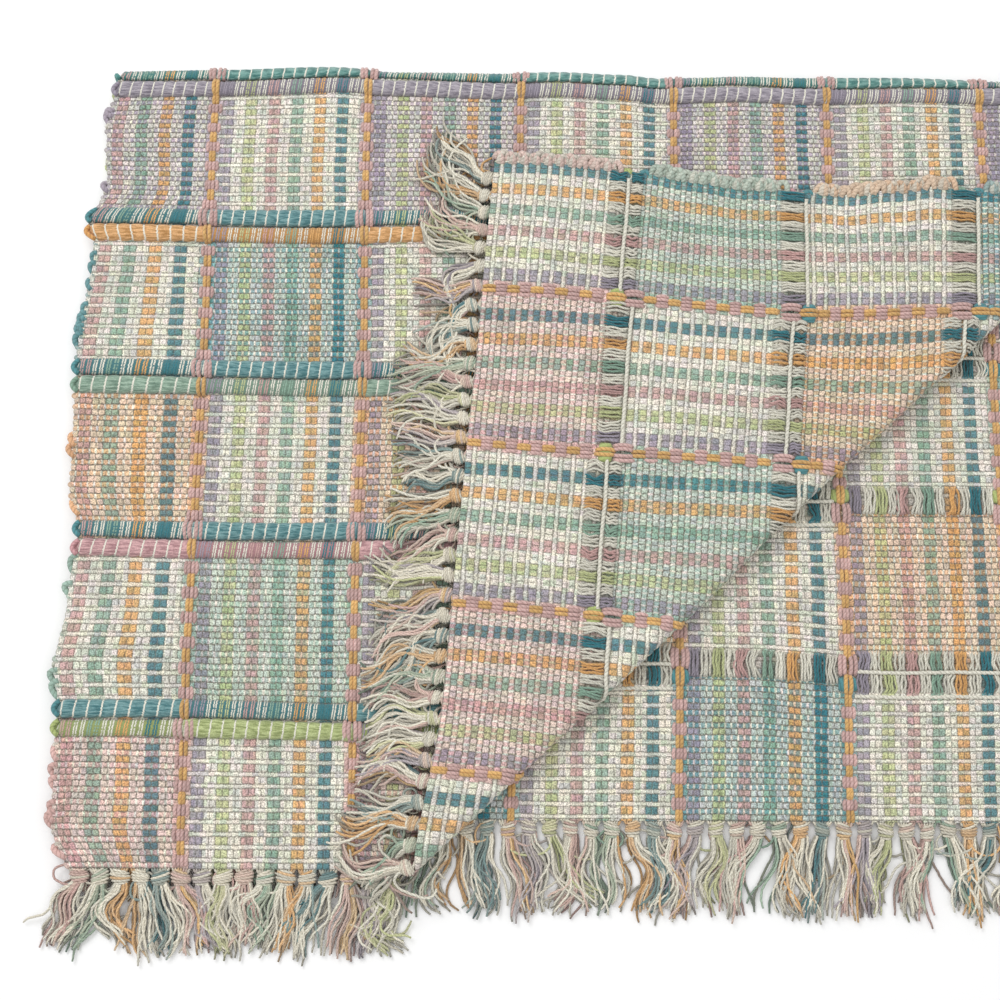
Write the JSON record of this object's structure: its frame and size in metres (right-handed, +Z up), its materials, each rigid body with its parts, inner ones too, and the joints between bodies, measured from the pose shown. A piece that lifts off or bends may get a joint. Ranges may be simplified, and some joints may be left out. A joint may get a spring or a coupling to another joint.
{
  "type": "accent rug",
  "caption": "Woven cotton accent rug with raised cross ribs and knotted fringes, folded across its length with one corner turned back.",
  "frame": {"origin": "middle of the folded rug's footprint, fringes included, on the surface that it rests on", "axes": "+X across the rug along the fold, +Y from the knotted fringes towards the fold, +Z up"},
  "size_m": [0.624, 0.525, 0.0183],
  "materials": {
    "woven_cotton": "matte multicolour hand weave",
    "fringe_yarn": "matte loose cotton yarn"
  },
  "bodies": {
    "root": {"rug_cloth": "woven_cotton", "fringe_lower": "fringe_yarn", "fringe_upper": "fringe_yarn", "fringe_turned": "fringe_yarn"}
  },
  "joints": []
}
